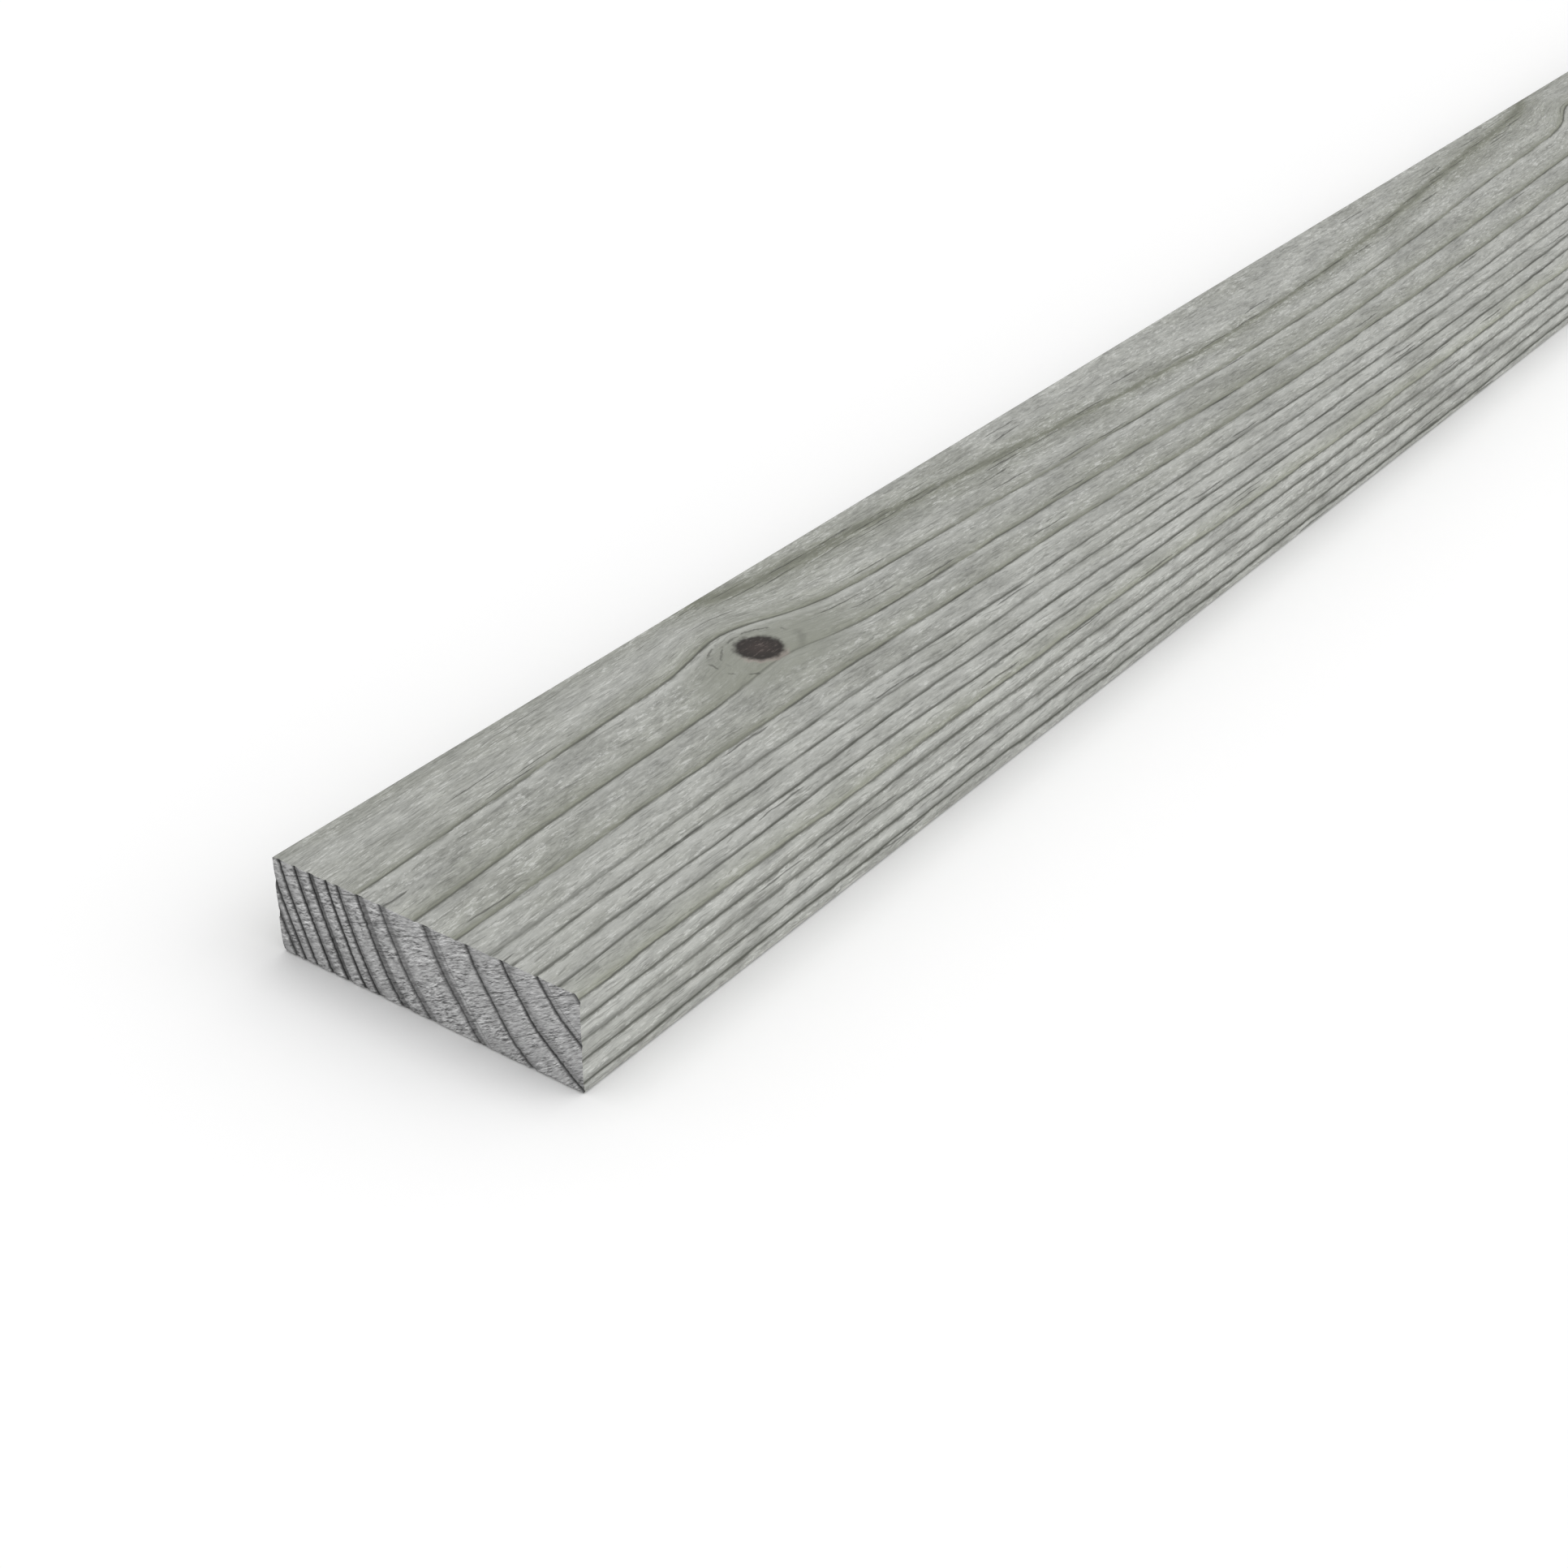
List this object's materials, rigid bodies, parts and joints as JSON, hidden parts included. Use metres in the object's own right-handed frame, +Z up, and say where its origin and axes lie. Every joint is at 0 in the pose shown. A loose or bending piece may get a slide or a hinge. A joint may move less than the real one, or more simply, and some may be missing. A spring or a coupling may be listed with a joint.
{
  "type": "timber batten",
  "caption": "Long flat softwood batten of rectangular section with broken arrises and square-cut ends, weathered grey, for fixing to or cladding a frame.",
  "frame": {"origin": "middle of the underside, the wide face that the batten lies on", "axes": "+X along the grain and the length, +Y across the wide face, +Z up through the thickness"},
  "size_m": [1.8, 0.07, 0.02],
  "materials": {
    "grey_softwood": "weathered grey, brushed grain, matt"
  },
  "bodies": {
    "root": {"batten": "grey_softwood"}
  },
  "joints": []
}
